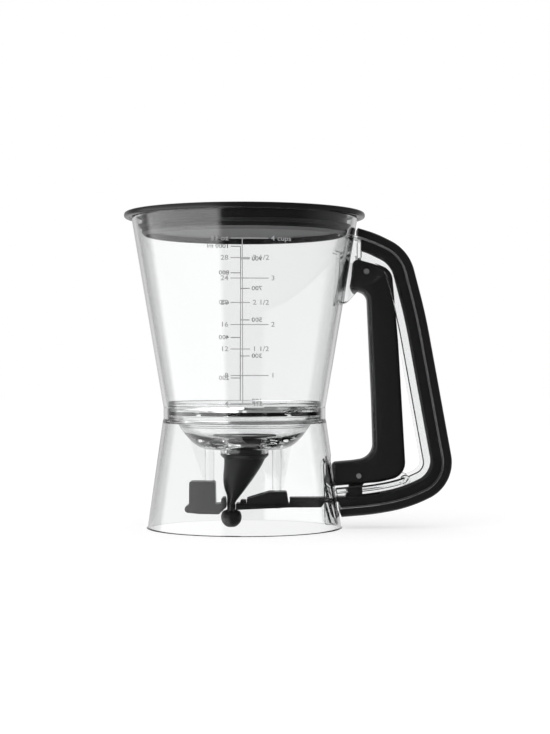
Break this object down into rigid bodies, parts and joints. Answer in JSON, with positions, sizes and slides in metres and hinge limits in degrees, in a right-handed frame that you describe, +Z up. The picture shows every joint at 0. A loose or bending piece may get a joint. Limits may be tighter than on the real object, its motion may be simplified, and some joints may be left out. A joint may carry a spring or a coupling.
{
  "type": "batter dispenser",
  "caption": "Clear one-hand batter jug with a press-in lid, a funnel, a pinch valve and a trigger in its handle that opens the valve.",
  "frame": {"origin": "on the body's axis at table height, at the centre of the base ring", "axes": "+X from the axis towards the handle, +Z up, +Y across the handle's plane"},
  "size_m": [0.1916, 0.1414, 0.1846],
  "materials": {
    "clear_plastic": "clear copolyester, polished",
    "hard_black": "moulded black plastic, fine satin",
    "soft_black": "soft black overmould, fine matt grain",
    "black_silicone": "black silicone, satin",
    "clear_silicone": "translucent silicone",
    "lid_black": "moulded black plastic, semi-gloss",
    "white_nylon": "natural nylon",
    "steel": "stainless steel, turned"
  },
  "bodies": {
    "body": {"body_shell": "clear_plastic", "handle_frame": "clear_plastic", "grip_core": "hard_black", "grip_pad": "soft_black", "funnel": "clear_plastic", "funnel_seal": "clear_silicone", "valve": "black_silicone", "valve_insert": "hard_black", "anvil_block": "hard_black", "guide_block": "hard_black", "block_screws": "steel", "pivot_pin": "steel", "return_spring": "steel"},
    "trigger": {"trigger_core": "hard_black", "trigger_grip": "soft_black", "pivot_bushes": "white_nylon", "link_pin": "steel"},
    "slider": {"slider": "hard_black"},
    "lid": {"lid": "lid_black", "lid_seal": "black_silicone"}
  },
  "joints": [
    {"name": "trigger_pivot", "type": "hinge", "parent": "body", "child": "trigger", "pos_m": [0.0712, 0, 0.1499], "axis": [0, -1, 0], "range_deg": [0, 4], "stiffness_Nm_per_rad": 3, "springref_deg": -6.88},
    {"name": "valve_pull", "type": "slide", "parent": "body", "child": "slider", "axis": [1, 0, 0], "range_m": [0, 0.0084]},
    {"name": "lid_lift", "type": "slide", "parent": "body", "child": "lid", "axis": [0, 0, 1], "range_m": [0, 0.03]}
  ],
  "couplings": [
    {"joint": "valve_pull", "follows": "trigger_pivot", "m_per_rad": 0.11936}
  ]
}
